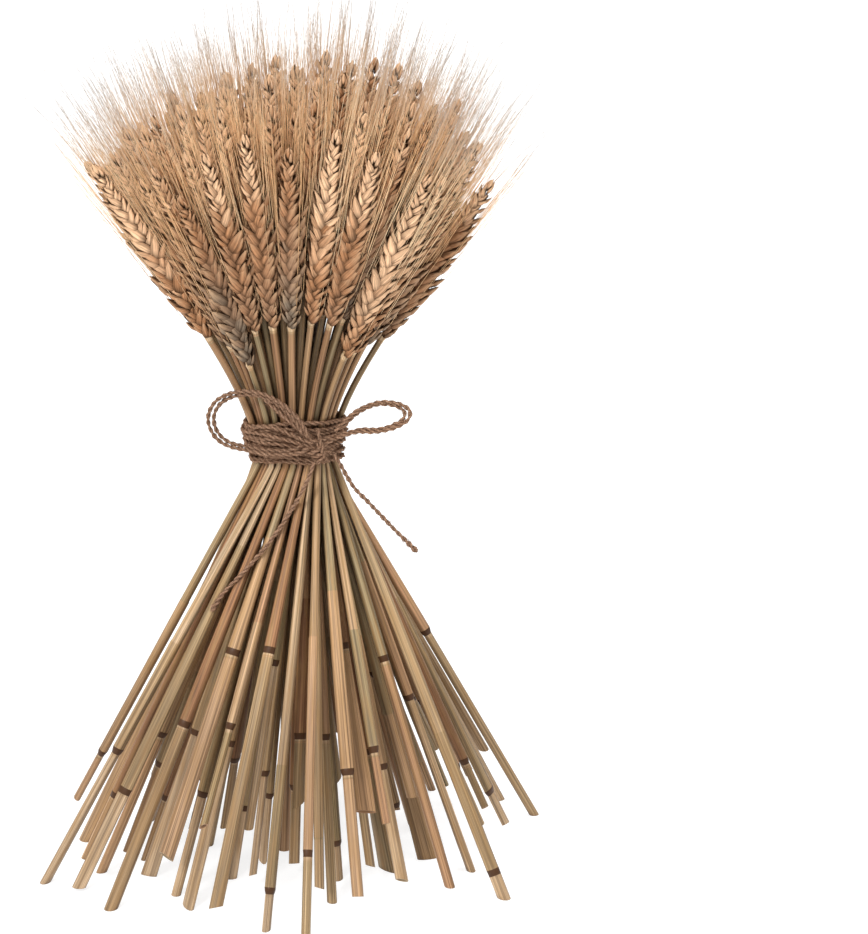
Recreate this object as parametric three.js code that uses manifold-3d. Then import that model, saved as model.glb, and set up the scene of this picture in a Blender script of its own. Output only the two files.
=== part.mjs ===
// A standing sheaf of dried bearded wheat: a hundred stalks, each a straw with its ear and awns,
// bound round the waist with jute twine that ends in a bow, and spread so that it stands on its cut ends.
// Millimetres, +Z up. The origin is on the floor, under the middle of the tie.
import * as THREE from "three";
import { mergeVertices } from "three/addons/utils/BufferGeometryUtils.js";
import Module from "manifold-3d";

const wasm = await Module();
wasm.setup();

// The sheaf: how the stalks are packed in the waist, and how they open above and below it.
const STALKS_PER_ROW = [6, 8, 10, 10, 10, 12, 10, 10, 10, 8, 6];
const STALK_SPACING = 3.45;
const ROW_SPACING = 3.1;
const PAIR_SQUEEZE = 0.62;
const TIE_HEIGHT = 217;
const BAND_HALF = 12;
const WAIST_RADIUS = 20;
const BASE_SLOPE = 0.545;
const BASE_ROUNDING = 5;
const BASE_DEPTH = 1.18;
const BASE_TURN = -0.65;
const BASE_WANDER = 0.36;
const HEAD_SLOPE = 0.775;
const HEAD_ROUNDING = 40;
const HEAD_DEPTH = 0.53;
const HEAD_WANDER = 0.06;
const SEED = 32064;

// One straw: square in section here, with its corners on the radius.
const STRAW_SIDES = 4;
const STRAW_WAIST_RADIUS = 1.5;
const STRAW_FOOT_RADIUS = [2.4, 3.7];
const STRAW_LEVELS = [-12, 8, 26];
const FOOT_LIFT = [-34, 46];

// One ear: its neck's length at the middle and at the rim of the sheaf, how much longer that is on the right,
// and its own size.
const NECK_LENGTH = [83, 46];
const NECK_LEAN = 5;
const NECK_SCATTER = 11;
const EAR_LENGTH = [94, 108];
const EAR_HALF_WIDTH = 6.3;
const EAR_HALF_DEPTH = 4.3;
const EAR_TURN = 0.45;
const EAR_TEETH = 8;
const TOOTH_NOTCH = 0.62;
const TOOTH_LEAN = 0.38;

// The awns: where they leave the ear, as shares of its length, and how far they reach past its tip.
const AWNS_PER_EAR = 3;
const AWN_RADIUS = 0.5;
const AWN_SIDES = 3;
const AWN_ROOTS = [0.36, 0.9];
const AWN_SINK = 0.5;
const AWN_TURN = 0.25;
const AWN_REACH = [24, 38];
const AWN_SPLAY = [5.5, 9];

// The twine: its band, its knot on the front of the band, and its bow.
const TWINE_RADIUS = 1.35;
const TWINE_SIDES = 5;
const TWINE_TURNS = 7;
const TWINE_GROOVE = 0.9;
const BAND_SEGMENTS = 16;
const BAND_DEPTH = 0.88;
const GAP = 0.4;
const KNOT_ANGLE = -58;
const KNOT_HALF_SIZE = new THREE.Vector3(6.2, 4.2, 6.2);
const KNOT_RELIEF = 0.06;
const LOOP_STEPS = 14;
const TAIL_STEPS = 8;

// The bow's routes, as points right of, behind and above the middle of the tie.
const LEFT_LOOP = [
  [9.8, -29.8, 6],
  [3.7, -30.5, 16.1],
  [-5.9, -29, 23.7],
  [-16.8, -25.5, 27.1],
  [-27.9, -21.5, 25.5],
  [-36.6, -18.5, 20.3],
  [-40.4, -17, 11.8],
  [-38.2, -17, 3.8],
  [-31.7, -19, -1.3],
  [-21.6, -22.5, -2.9],
  [-8.6, -27.5, -3.9],
  [3.3, -29.5, -3.1],
  [9.7, -29.8, 0],
];
const RIGHT_LOOP = [
  [22.2, -24, 6.5],
  [27, -21.5, 11.4],
  [32.8, -19.5, 16],
  [40.1, -17.5, 19],
  [48, -16.5, 19.8],
  [54.8, -15.5, 18],
  [58.7, -15, 14.4],
  [57.2, -15.5, 10],
  [50.8, -16.5, 6.7],
  [42, -18, 5],
  [33.3, -20, 5.5],
  [22.6, -24, 3.5],
];
const LEFT_TAIL = [
  [12.1, -30.5, -6.9],
  [8.7, -29, -16.4],
  [0.6, -29, -31.7],
  [-9.2, -34.5, -45.3],
  [-20.4, -37, -58.4],
  [-32.4, -36.5, -71.2],
  [-39.3, -37, -81.2],
];
const RIGHT_TAIL = [
  [21.6, -25.6, -4.2],
  [24.5, -25.5, -9.2],
  [30.7, -25, -20.6],
  [39, -24.5, -29.9],
  [47.8, -24, -39.8],
  [56.6, -24, -49.1],
  [62.1, -24, -54.8],
];
const STRAND_INSET = 0.84;

const X_AXIS = new THREE.Vector3(1, 0, 0);
const Z_AXIS = new THREE.Vector3(0, 0, 1);
const STEP = 1;

const strawMaterial = new THREE.MeshStandardMaterial({ color: 0xb99f68, roughness: 0.55, metalness: 0 });
const twineMaterial = new THREE.MeshStandardMaterial({ color: 0x8a6a48, roughness: 0.95, metalness: 0 });

// A small linear congruential generator, so that each build draws the same sheaf.
let state = SEED;
function draw() {
  state = (state * 1664525 + 1013904223) % 4294967296;
  return state / 4294967296;
}
const between = ([low, high], share) => low + (high - low) * share;
const eitherWay = (reach) => reach * (2 * draw() - 1);

// How far the sheaf has opened at a height above the middle of the tie, in width and in depth, as multiples
// of its waist, which is at the foot of the band.
function spread(height) {
  const past = height + BAND_HALF;
  const [slope, rounding, depth] =
    past < 0 ? [BASE_SLOPE, BASE_ROUNDING, BASE_DEPTH] : [HEAD_SLOPE, HEAD_ROUNDING, HEAD_DEPTH];
  const opening = (slope * (Math.hypot(past, rounding) - rounding)) / WAIST_RADIUS;
  return { x: 1 + opening, y: 1 + opening * depth };
}
const FLOOR_SPREAD = spread(-TIE_HEIGHT);

// A stalk's place across the sheaf where it has opened so far.
function placeAcross(stalk, open, wander) {
  const x = stalk.x * open.x + wander.x * (open.x - 1);
  const y = stalk.y * open.y + wander.y * (open.y - 1);
  return new THREE.Vector3(x, y, 0);
}

// A point on a stalk's middle line. Above the waist the stalks bend outwards. Below it they run straight to
// places on the floor that are turned about the sheaf's axis. All of them do so alike, so they never cross.
function axisPoint(stalk, height) {
  const open = spread(height);
  const point = placeAcross(stalk, open, stalk.headWander);
  if (height < -BAND_HALF) {
    const foot = placeAcross(stalk, FLOOR_SPREAD, stalk.baseWander).applyAxisAngle(Z_AXIS, BASE_TURN);
    point.set(stalk.x, stalk.y, 0).lerp(foot, (open.x - 1) / (FLOOR_SPREAD.x - 1));
  }
  return point.add(new THREE.Vector3(stalk.squeeze, 0, TIE_HEIGHT + height));
}

// The middle line's point and direction at a height, and the two directions across it.
function frameAt(stalk, height) {
  const centre = axisPoint(stalk, height);
  const along = axisPoint(stalk, height + STEP / 2).sub(axisPoint(stalk, height - STEP / 2)).normalize();
  const across = X_AXIS.clone().addScaledVector(along, -along.x).normalize();
  return { centre, along, across, beside: along.clone().cross(across) };
}

// The same, where the stalk is so long above the middle of the tie.
function frameAtLength(stalk, length) {
  let height = 0;
  let run = 0;
  while (run < length) {
    run += axisPoint(stalk, height + STEP).distanceTo(axisPoint(stalk, height));
    height += STEP;
  }
  return frameAt(stalk, height);
}

// A point beside a frame's centre, at an angle round the stalk.
function offset(frame, angle, radius) {
  return frame.centre
    .clone()
    .addScaledVector(frame.across, radius * Math.cos(angle))
    .addScaledVector(frame.beside, radius * Math.sin(angle));
}

// A ring of points round a frame's centre.
function ringAt(frame, sides, radius) {
  return Array.from({ length: sides }, (_, i) => offset(frame, (i * 2 * Math.PI) / sides, radius));
}

// The closed skin over a stack of rings: a flat foot, walls, and a pointed tip.
function loft(rings, tip) {
  const sides = rings[0].length;
  const points = [...rings.flat(), tip];
  const faces = [];
  for (let i = 1; i < sides - 1; i++) faces.push(0, i + 1, i);
  for (let ring = 0; ring < rings.length - 1; ring++) {
    for (let i = 0; i < sides; i++) {
      const low = ring * sides + i;
      const next = ring * sides + ((i + 1) % sides);
      faces.push(low, next, next + sides, low, next + sides, low + sides);
    }
  }
  const top = (rings.length - 1) * sides;
  for (let i = 0; i < sides; i++) faces.push(top + i, top + ((i + 1) % sides), points.length - 1);
  return new THREE.BufferGeometry().setFromPoints(points).setIndex(faces);
}

// A closed geometry as a solid that can be joined to others.
function solidOf(geometry) {
  const bare = geometry.clone();
  bare.deleteAttribute("normal");
  bare.deleteAttribute("uv");
  const merged = mergeVertices(bare, 1e-4);
  const vertProperties = merged.attributes.position.array;
  const triVerts = new Uint32Array(merged.index.array);
  return new wasm.Manifold(new wasm.Mesh({ numProp: 3, vertProperties, triVerts }));
}

// Closed geometries fused into one.
function fuse(geometries) {
  const mesh = geometries.map(solidOf).reduce((whole, piece) => whole.add(piece)).getMesh();
  const geometry = new THREE.BufferGeometry();
  geometry.setAttribute("position", new THREE.BufferAttribute(mesh.vertProperties, 3));
  geometry.setIndex(new THREE.BufferAttribute(mesh.triVerts, 1));
  geometry.computeVertexNormals();
  return geometry;
}

// What differs from stalk to stalk. The draws are always made in this order.
function drawStalk(x, y, squeeze) {
  const wander = (share) => {
    const angle = 2 * Math.PI * draw();
    const reach = share * STALK_SPACING * Math.sqrt(draw());
    return { x: reach * Math.cos(angle), y: reach * Math.sin(angle) };
  };
  const rim = Math.hypot(x, y) / WAIST_RADIUS;
  return {
    x,
    y,
    squeeze,
    baseWander: wander(BASE_WANDER),
    headWander: wander(HEAD_WANDER),
    footRadius: between(STRAW_FOOT_RADIUS, draw()),
    footHeight: Math.max(0, between(FOOT_LIFT, draw())),
    neckLength: between(NECK_LENGTH, rim * rim) + (NECK_LEAN * x) / WAIST_RADIUS + eitherWay(NECK_SCATTER),
    earLength: between(EAR_LENGTH, draw()),
    earTurn: eitherWay(EAR_TURN),
    awnTurn: eitherWay(AWN_TURN),
    awnReach: between(AWN_REACH, draw()),
  };
}

// The stalks in the waist: rows of a triangular lattice, with neighbours in a row pressed together in pairs.
function plantStalks() {
  return STALKS_PER_ROW.flatMap((count, row) => {
    const y = (row - (STALKS_PER_ROW.length - 1) / 2) * ROW_SPACING;
    const shift = ((row % 2) - 0.5) * 0.5 * STALK_SPACING;
    return Array.from({ length: count }, (_, place) => {
      const x = (place - (count - 1) / 2) * STALK_SPACING + shift;
      return drawStalk(x, y, place % 2 === 0 ? PAIR_SQUEEZE : -PAIR_SQUEEZE);
    });
  });
}

// The straw's rings, from its level cut foot to above the tie.
function strawRings(stalk) {
  const footFrame = frameAt(stalk, stalk.footHeight - TIE_HEIGHT);
  const foot = ringAt(footFrame, STRAW_SIDES, stalk.footRadius);
  const { along } = footFrame;
  for (const point of foot) point.addScaledVector(along, (stalk.footHeight - point.z) / along.z);
  const upper = STRAW_LEVELS.map((height) => ringAt(frameAt(stalk, height), STRAW_SIDES, STRAW_WAIST_RADIUS));
  return [foot, ...upper];
}

// How full an ear is along its length: slim at the neck, full in the middle, narrow at the tip.
function earFullness(share) {
  const swell = 0.42 + 0.58 * THREE.MathUtils.smoothstep(share, 0, 0.38);
  return swell * (1 - 0.58 * THREE.MathUtils.smoothstep(share, 0.55, 1));
}

// The ear's rings: two rows of spikelets stand out in turn, left and right, each leaning over the next.
function earRings(stalk) {
  const lean = (TOOTH_LEAN * stalk.earLength) / EAR_TEETH;
  return Array.from({ length: EAR_TEETH + 1 }, (_, tooth) => {
    const share = tooth / (EAR_TEETH + 0.6);
    const frame = frameAtLength(stalk, stalk.neckLength + share * stalk.earLength);
    const fullness = earFullness(share);
    return Array.from({ length: STRAW_SIDES }, (_, side) => {
      const angle = stalk.earTurn + (side * Math.PI) / 2;
      if (side % 2 === 1) return offset(frame, angle, EAR_HALF_DEPTH * fullness);
      const standsOut = (tooth + side / 2) % 2 === 1;
      const radius = EAR_HALF_WIDTH * fullness * (standsOut ? 1 : TOOTH_NOTCH);
      return offset(frame, angle, radius).addScaledVector(frame.along, standsOut ? lean : 0);
    });
  });
}

// One awn: a slim needle rooted in a spikelet, fanning out past the ear's tip.
function awn(stalk, index) {
  const share = between(AWN_ROOTS, index / (AWNS_PER_EAR - 1));
  const angle = stalk.earTurn + stalk.awnTurn + ((index + 0.5) * 2 * Math.PI) / AWNS_PER_EAR;
  const root = frameAtLength(stalk, stalk.neckLength + share * stalk.earLength);
  const end = frameAtLength(stalk, stalk.neckLength + stalk.earLength + stalk.awnReach);
  const centre = offset(root, angle, AWN_SINK * EAR_HALF_DEPTH * earFullness(share));
  const tip = offset(end, angle, between(AWN_SPLAY, (index % 3) / 2));
  return loft([ringAt({ ...root, centre }, AWN_SIDES, AWN_RADIUS)], tip);
}

// One whole stalk, as the closed pieces that are fused into it.
function stalkPieces(stalk) {
  const tip = frameAtLength(stalk, stalk.neckLength + stalk.earLength).centre;
  const body = loft([...strawRings(stalk), ...earRings(stalk)], tip);
  return [body, ...Array.from({ length: AWNS_PER_EAR }, (_, i) => awn(stalk, i))];
}

// The wound band of twine: an oval ring with one ridge for each turn, which opens upwards with the stalks.
function twineBand(inside, outside) {
  const pitch = (2 * BAND_HALF) / TWINE_TURNS;
  const profile = [new THREE.Vector2(inside, -BAND_HALF)];
  for (let turn = 0; turn < TWINE_TURNS; turn++) {
    profile.push(new THREE.Vector2(outside - TWINE_GROOVE, pitch * turn - BAND_HALF));
    profile.push(new THREE.Vector2(outside, pitch * (turn + 0.5) - BAND_HALF));
  }
  profile.push(new THREE.Vector2(outside - TWINE_GROOVE, BAND_HALF));
  profile.push(new THREE.Vector2(inside, BAND_HALF));
  profile.push(profile[0].clone());
  const geometry = new THREE.LatheGeometry(profile, BAND_SEGMENTS).rotateX(Math.PI / 2);
  const points = geometry.attributes.position;
  for (let i = 0; i < points.count; i++) {
    const open = spread(points.getZ(i));
    points.setXY(i, points.getX(i) * open.x, points.getY(i) * open.y * BAND_DEPTH);
  }
  return geometry;
}

// The knot: a lump with the crossed turns of the twine raised on it.
function twineKnot() {
  const geometry = new THREE.SphereGeometry(1, 12, 8);
  const points = geometry.attributes.position;
  for (let i = 0; i < points.count; i++) {
    const point = new THREE.Vector3().fromBufferAttribute(points, i);
    const raised = 1 + KNOT_RELIEF * Math.cos(3 * Math.PI * (point.x + point.z));
    point.multiplyScalar(raised).multiply(KNOT_HALF_SIZE);
    points.setXYZ(i, point.x, point.y, point.z);
  }
  return geometry;
}

// A length of twine along a smooth path through the points.
function twineTube(points, steps) {
  const corners = Array.from({ length: TWINE_SIDES }, (_, i) => {
    const angle = (i * 2 * Math.PI) / TWINE_SIDES;
    return new THREE.Vector2(TWINE_RADIUS * Math.cos(angle), TWINE_RADIUS * Math.sin(angle));
  });
  const extrudePath = new THREE.CatmullRomCurve3(points, false, "centripetal");
  return new THREE.ExtrudeGeometry(new THREE.Shape(corners), { steps, bevelEnabled: false, extrudePath });
}
const asVectors = (points) => points.map((point) => new THREE.Vector3(...point));

// A loop of the bow: two strands side by side, which come together at the knot.
function bowLoop(points) {
  const outer = asVectors(points);
  const middle = outer.reduce((sum, point) => sum.add(point), new THREE.Vector3()).divideScalar(outer.length);
  const inner = outer.map((point, i) => {
    const atKnot = i === 0 || i === outer.length - 1;
    return atKnot ? point.clone() : middle.clone().lerp(point, STRAND_INSET);
  });
  return fuse([twineTube(outer, LOOP_STEPS), twineTube(inner, LOOP_STEPS)]);
}

function add(group, name, geometry, material) {
  const mesh = new THREE.Mesh(geometry, material);
  mesh.name = name;
  group.add(mesh);
  return mesh;
}

const sheaf = new THREE.Group();
const stalks = plantStalks();
for (let i = 0; i < stalks.length; i += 2) {
  const pair = fuse([...stalkPieces(stalks[i]), ...stalkPieces(stalks[i + 1])]);
  add(sheaf, `stalk_pair_${String(i / 2 + 1).padStart(2, "0")}`, pair, strawMaterial);
}

const tie = new THREE.Group();
tie.position.z = TIE_HEIGHT;
sheaf.add(tie);
const strawReaches = stalks.map(({ x, y, squeeze }) => {
  const width = Math.abs(x + squeeze) + STRAW_WAIST_RADIUS;
  const depth = Math.abs(y) + STRAW_WAIST_RADIUS;
  return Math.hypot(width, depth / BAND_DEPTH);
});
const bandInside = Math.max(...strawReaches) + GAP;
const bandOutside = bandInside + 2 * TWINE_RADIUS;
add(tie, "twine_band", twineBand(bandInside, bandOutside), twineMaterial);
const knot = add(tie, "twine_knot", twineKnot(), twineMaterial);
const knotAngle = THREE.MathUtils.degToRad(KNOT_ANGLE);
const outward = new THREE.Vector3(BAND_DEPTH * Math.cos(knotAngle), Math.sin(knotAngle), 0).normalize();
const open = spread(0);
knot.position.set(open.x * Math.cos(knotAngle), open.y * BAND_DEPTH * Math.sin(knotAngle), 0);
knot.position.multiplyScalar(bandOutside);
knot.position.addScaledVector(outward, GAP + KNOT_HALF_SIZE.y * (1 + KNOT_RELIEF));
knot.rotation.z = Math.atan2(outward.y, outward.x) + Math.PI / 2;
add(tie, "bow_loop_left", bowLoop(LEFT_LOOP), twineMaterial);
add(tie, "bow_loop_right", bowLoop(RIGHT_LOOP), twineMaterial);
add(tie, "twine_tail_left", twineTube(asVectors(LEFT_TAIL), TAIL_STEPS), twineMaterial);
add(tie, "twine_tail_right", twineTube(asVectors(RIGHT_TAIL), TAIL_STEPS), twineMaterial);

export default sheaf;
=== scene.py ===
"""The look of a tied sheaf of dried bearded wheat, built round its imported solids.

Shapes are worked out in millimetres, in the part's own frame, and become metres where a mesh is made.
"""

import math

import bpy
import numpy as np
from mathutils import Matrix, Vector


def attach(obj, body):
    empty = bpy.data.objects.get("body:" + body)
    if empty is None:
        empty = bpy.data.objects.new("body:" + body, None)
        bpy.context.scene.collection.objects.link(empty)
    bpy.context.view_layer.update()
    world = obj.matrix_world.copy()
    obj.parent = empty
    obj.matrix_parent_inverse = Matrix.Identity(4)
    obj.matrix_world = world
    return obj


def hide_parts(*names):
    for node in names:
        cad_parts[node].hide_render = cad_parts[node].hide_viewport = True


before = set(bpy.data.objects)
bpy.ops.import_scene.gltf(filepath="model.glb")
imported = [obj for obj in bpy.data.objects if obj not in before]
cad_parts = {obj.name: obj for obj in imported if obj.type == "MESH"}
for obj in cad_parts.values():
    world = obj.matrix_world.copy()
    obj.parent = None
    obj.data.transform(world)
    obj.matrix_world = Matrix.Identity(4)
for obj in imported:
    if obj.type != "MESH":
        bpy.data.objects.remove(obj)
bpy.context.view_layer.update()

MM = 0.001
# The places of the materials on a piece.
STRAW_SLOT = TWINE_SLOT = 0
HUSK_SLOT = 1
AWN_SLOT = 2

# The sheaf, with the same values as its solids.
STALKS_PER_ROW = [6, 8, 10, 10, 10, 12, 10, 10, 10, 8, 6]
STALK_SPACING = 3.45
ROW_SPACING = 3.1
TIE_HEIGHT = 217
BAND_HALF = 12
WAIST_RADIUS = 20
BASE_SLOPE = 0.545
BASE_ROUNDING = 5
BASE_DEPTH = 1.18
BASE_TURN = -0.65
BASE_WANDER = 0.36
HEAD_SLOPE = 0.775
HEAD_ROUNDING = 40
HEAD_DEPTH = 0.53
HEAD_WANDER = 0.06
SEED = 32064
FOOT_LIFT = (-34, 46)
NECK_LENGTH = (83, 46)
NECK_LEAN = 5
NECK_SCATTER = 11
EAR_LENGTH = (94, 108)
EAR_TURN = 0.45
AWN_REACH = (24, 38)

# How high and how closely a stalk is measured, and the seeds of what the look adds to the solids.
MEASURED_HEIGHT = 300.0
HALF_STEP = 0.5
BAND_SEED = SEED + 1
KNOT_SEED = SEED + 2
CORD_SEED = SEED + 3
STALK_SEED = SEED + 100

# The straw's look.
STRAW_SIDES = 12
STRAW_WAIST_RADIUS = 1.78
STRAW_SLIMNESS = (0.8, 1.06)
STRAW_NECK_RADIUS = 1.75
STRAW_BEND = 1.5
STRAW_TIP_RADIUS = 0.4
STRAW_FOOT_RADIUS = (2.3, 3.5)
FOOT_FLATNESS = 0.3
FLARE_SHARE = 0.1
FLARE = 1.75
FLARE_LENGTH = 75
WALL = 0.66
HOLLOW_DEPTH = 9
CUT_TILT = 0.5
JOINT_HALF = 1.4
JOINT_RIM = 0.7
JOINT_SWELL = 0.02
JOINT_HEIGHT = (10, 125)
JOINT_SHARE = 0.85
BELOW_JOINT = 0.82
SHEATH_LENGTH = (45, 130)
SHEATH_LAP = 0.2
SHEATH_LAPS = (0.4, 1.0)
MIDDLE_HEIGHT = -100
MIDDLE_SHARE = 0.8
NECK_TAPER = 10
COLLAR_HALF = 1.5
COLLAR_SWELL = 0.4
STEM_END = 2
FLAT_HEIGHTS = (-140, -40)
FLAT_THINNING = 0.8
FLARE_THINNING = 0.3
LEVEL_CUTS = 4
PART_TONE = 0.14
RIM_TONE = 0.92
NECK_SHADE = 0.28
NECK_SHADE_TOP = 30
NECK_BARE = 2
NECK_TONES = 0.3
LOW_SHADE = 0.36
LOW_SHADE_HEIGHTS = (-150, -70)
HOLLOW_SHADES = (0, 0.15, 0.85)
GRAIN_LENGTH = 60
GRAIN_SHIFT = 20

# The places of a straw's rings above the middle of the tie, and those from its joint, neck and sheath's end.
FOOT_GAP = 1
BASE_TOP = -40
BASE_RINGS = 9
TIE_STRETCH = (-32, 36)
TIE_RINGS = 12
STEM_FOOT = 42
STEM_GAP = 5
STEM_RINGS = 4
EAR_GAP = 8
JOINT_EDGE = 0.15
JOINT_PLACES = [-JOINT_HALF - 2, -JOINT_HALF - JOINT_RIM, -JOINT_HALF - JOINT_EDGE, -JOINT_HALF, 0]
JOINT_PLACES += [JOINT_HALF, JOINT_HALF + JOINT_EDGE, JOINT_HALF + 1.5]
NECK_PLACES = [-3, -1.2, 0, 1.2, 3]
SHEATH_PLACES = [-0.2, 0.2]
PLACE_SLACK = 0.1

# The ear's look.
SPIKELETS = 28
FIRST_PLACE = 0.2
SPIKELET_LEAN = 25
LEAN_SCATTER = 3.5
TIP_LEAN = 2.0
ROOT_OFFSET = -0.7
EAR_TIP_ROOM = 10
HUSK_SIDES = 5
HUSK_WANDER = 0.065
HUSK_SIZES = (0.9, 1.1)
LOW_FULLNESS = 0.66
FULL_STRETCH = (0.3, 0.5)
TIP_LOSS = 0.48
HUSK_GRAINS = 30
HUSK_SCATTER = 0.07
# The ear's tone: greyer at its foot, for the greyer lowest spikelets with painted shade among the necks, and
# painted light towards its top.
FOOT_GREY_AND_SHADE = 0.25
FOOT_GREY_AND_SHADE_STRETCH = (0.05, 0.4)
PAINTED_TOP_LIGHT = 0.55
PAINTED_TOP_LIGHT_STRETCH = (0.4, 0.95)
EAR_TONE = (0.52, 0.24)

# The awns' look.
AWN_SHARE = (0.7, 0.34)
AWN_RADIUS = 0.145
AWN_SIDES = 3
AWN_RINGS = 3
AWN_LAST_RING = 0.86
AWN_TAPER = 0.65
AWN_REACHES = (0.4, 1.18)
AWN_SCATTER = 0.35
AWN_ROOT_SHARE = 0.7
AWN_BENDS = (-0.02, 0.06)
AWN_TONE_SCATTER = 0.14
AWN_LENGTH = (60, 110)
SIDE_AWNS = 20
AWN_SPLAY = (1, 10)
AWN_COVER = 34
AWN_FADE = 32

# The twine's look.
TWINE_RADIUS = 1.35
TWINE_SIDES = 10
TWINE_TURNS = 9
TWINE_PITCH = 7.5
TWINE_STEP = 0.75
TWINE_LOBE = 0.24
TWINE_FULLNESS = 0.88
TWINE_WAVE = 0.07
WAVE_LENGTH = 2.3
WAVE_STARTS = (0, 6)
PLY_ROUGHNESS = (0.91, 1.09)
BARE_SWELL = 0.5
SWELL_STRETCH = (9, 2)
END_SHARE = 0.25
TWINE_GRAIN = 3
TWINE_GRAINS = (0, 50)
STRAND_SPAN = (0.2, 0.8)
CURVE_STEPS = 24
KNOT_CENTRE = (15.4, -24.6, 0.0)

# The photograph's view.
IMAGE_SIZE = (868, 934)
TIE_PIXEL = (293, 433)
MM_PER_PIXEL = 0.5
CAMERA_DISTANCE = 1050
CAMERA_ELEVATION = 15
SENSOR = 36

# The bow's routes, as points right of, behind and above the middle of the tie.
LEFT_LOOP = [
    (9.8, -29.8, 6), (3.7, -30.5, 16.1), (-5.9, -29, 23.7), (-16.8, -25.5, 27.1),
    (-27.9, -21.5, 25.5), (-36.6, -18.5, 20.3), (-40.4, -17, 11.8), (-38.2, -17, 3.8),
    (-31.7, -19, -1.3), (-21.6, -22.5, -2.9), (-8.6, -27.5, -3.9), (3.3, -29.5, -3.1),
    (9.7, -29.8, 0),
]
RIGHT_LOOP = [
    (22.2, -24, 6.5), (27, -21.5, 11.4), (32.8, -19.5, 16), (40.1, -17.5, 19),
    (48, -16.5, 19.8), (54.8, -15.5, 18), (58.7, -15, 14.4), (57.2, -15.5, 10),
    (50.8, -16.5, 6.7), (42, -18, 5), (33.3, -20, 5.5), (22.6, -24, 3.5),
]
LEFT_TAIL = [
    (12.1, -30.5, -6.9), (8.7, -29, -16.4), (0.6, -29, -31.7), (-9.2, -34.5, -45.3),
    (-20.4, -37, -58.4), (-32.4, -36.5, -71.2), (-39.3, -37, -81.2),
]
RIGHT_TAIL = [
    (21.6, -25.6, -4.2), (24.5, -25.5, -9.2), (30.7, -25, -20.6), (39, -24.5, -29.9),
    (47.8, -24, -39.8), (56.6, -24, -49.1), (62.1, -24, -54.8),
]
LEFT_INSET = 0.89
RIGHT_INSET = 0.85
BEHIND = 1.2


def between(ends, share):
    return ends[0] + (ends[1] - ends[0]) * share


def unit(vectors):
    return vectors / np.linalg.norm(vectors, axis=-1, keepdims=True)


def smoothstep(x, low, high):
    t = np.clip((x - low) / (high - low), 0, 1)
    return t * t * (3 - 2 * t)


MULTIPLIER = 1664525
INCREMENT = 1013904223
MODULUS = 4294967296


class Draws:
    """The small linear congruential generator that the solids are drawn by."""

    def __init__(self, seed):
        self.state = seed

    def next(self):
        self.state = (self.state * MULTIPLIER + INCREMENT) % MODULUS
        return self.state / MODULUS

    def either_way(self, reach):
        return reach * (2 * self.next() - 1)

    def wander(self, share):
        angle = 2 * math.pi * self.next()
        reach = share * STALK_SPACING * math.sqrt(self.next())
        return reach * np.array([math.cos(angle), math.sin(angle)])


def spread(height):
    """How far the sheaf has opened at heights above the middle of the tie, in width and in depth.

    The opening is a multiple of the sheaf's waist, which is at the foot of the band.
    """
    past = height + BAND_HALF
    below = past < 0
    rounding = np.where(below, BASE_ROUNDING, HEAD_ROUNDING)
    opening = np.where(below, BASE_SLOPE, HEAD_SLOPE) * (np.hypot(past, rounding) - rounding) / WAIST_RADIUS
    return np.stack([1 + opening, 1 + opening * np.where(below, BASE_DEPTH, HEAD_DEPTH)], axis=-1)


FLOOR_SPREAD = spread(-TIE_HEIGHT)
FLOOR_TURN = np.array(
    [[math.cos(BASE_TURN), -math.sin(BASE_TURN)], [math.sin(BASE_TURN), math.cos(BASE_TURN)]]
)


class Stalk:
    """One stalk, from the same draws in the same order as its solid."""

    def __init__(self, x, y, draws):
        self.waist = np.array([x, y])
        self.base_wander = draws.wander(BASE_WANDER)
        self.head_wander = draws.wander(HEAD_WANDER)
        self.foot_radius = between(STRAW_FOOT_RADIUS, draws.next())
        self.foot_height = max(0, between(FOOT_LIFT, draws.next()))
        rim = math.hypot(x, y) / WAIST_RADIUS
        self.neck_length = between(NECK_LENGTH, rim * rim) + NECK_LEAN * x / WAIST_RADIUS
        self.neck_length += draws.either_way(NECK_SCATTER)
        self.ear_length = between(EAR_LENGTH, draws.next())
        self.ear_turn = draws.either_way(EAR_TURN)
        draws.next()  # which turns the awns of the solid alone
        self.awn_reach = between(AWN_REACH, draws.next())
        self.heights = np.arange(0, MEASURED_HEIGHT)
        steps = np.linalg.norm(np.diff(self.points(self.heights), axis=0), axis=1)
        self.lengths = np.concatenate([[0], np.cumsum(steps)])

    def points(self, height):
        """Points on the middle line, which bends outwards above the waist and is straight below it."""
        opening = spread(height)
        above = self.waist * opening + self.head_wander * (opening - 1)
        foot = FLOOR_TURN @ (self.waist * FLOOR_SPREAD + self.base_wander * (FLOOR_SPREAD - 1))
        past = np.maximum(0, -BAND_HALF - height)
        share = (np.hypot(past, STRAW_BEND) - STRAW_BEND) / (TIE_HEIGHT - BAND_HALF - STRAW_BEND)
        below = self.waist + (foot - self.waist) * share[:, None]
        flat = np.where(height[:, None] < -BAND_HALF, below, above)
        return np.column_stack([flat, TIE_HEIGHT + height])

    def frames(self, height):
        """The middle line's points, its directions, and two directions across it."""
        along = unit(self.points(height + HALF_STEP) - self.points(height - HALF_STEP))
        across = unit(np.array([1.0, 0, 0]) - along * along[:, :1])
        return self.points(height), along, across, np.cross(along, across)

    def height_at(self, length):
        """The heights where the stalk is so long above the tie."""
        return np.interp(length, self.lengths, self.heights)

    def ear_frames(self, length):
        """The ear's middle line at lengths above the tie, its directions, and its broad and deep sides."""
        centre, along, across, beside = self.frames(self.height_at(length))
        broad = across * math.cos(self.ear_turn) + beside * math.sin(self.ear_turn)
        return centre, along, broad, np.cross(along, broad)


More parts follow.
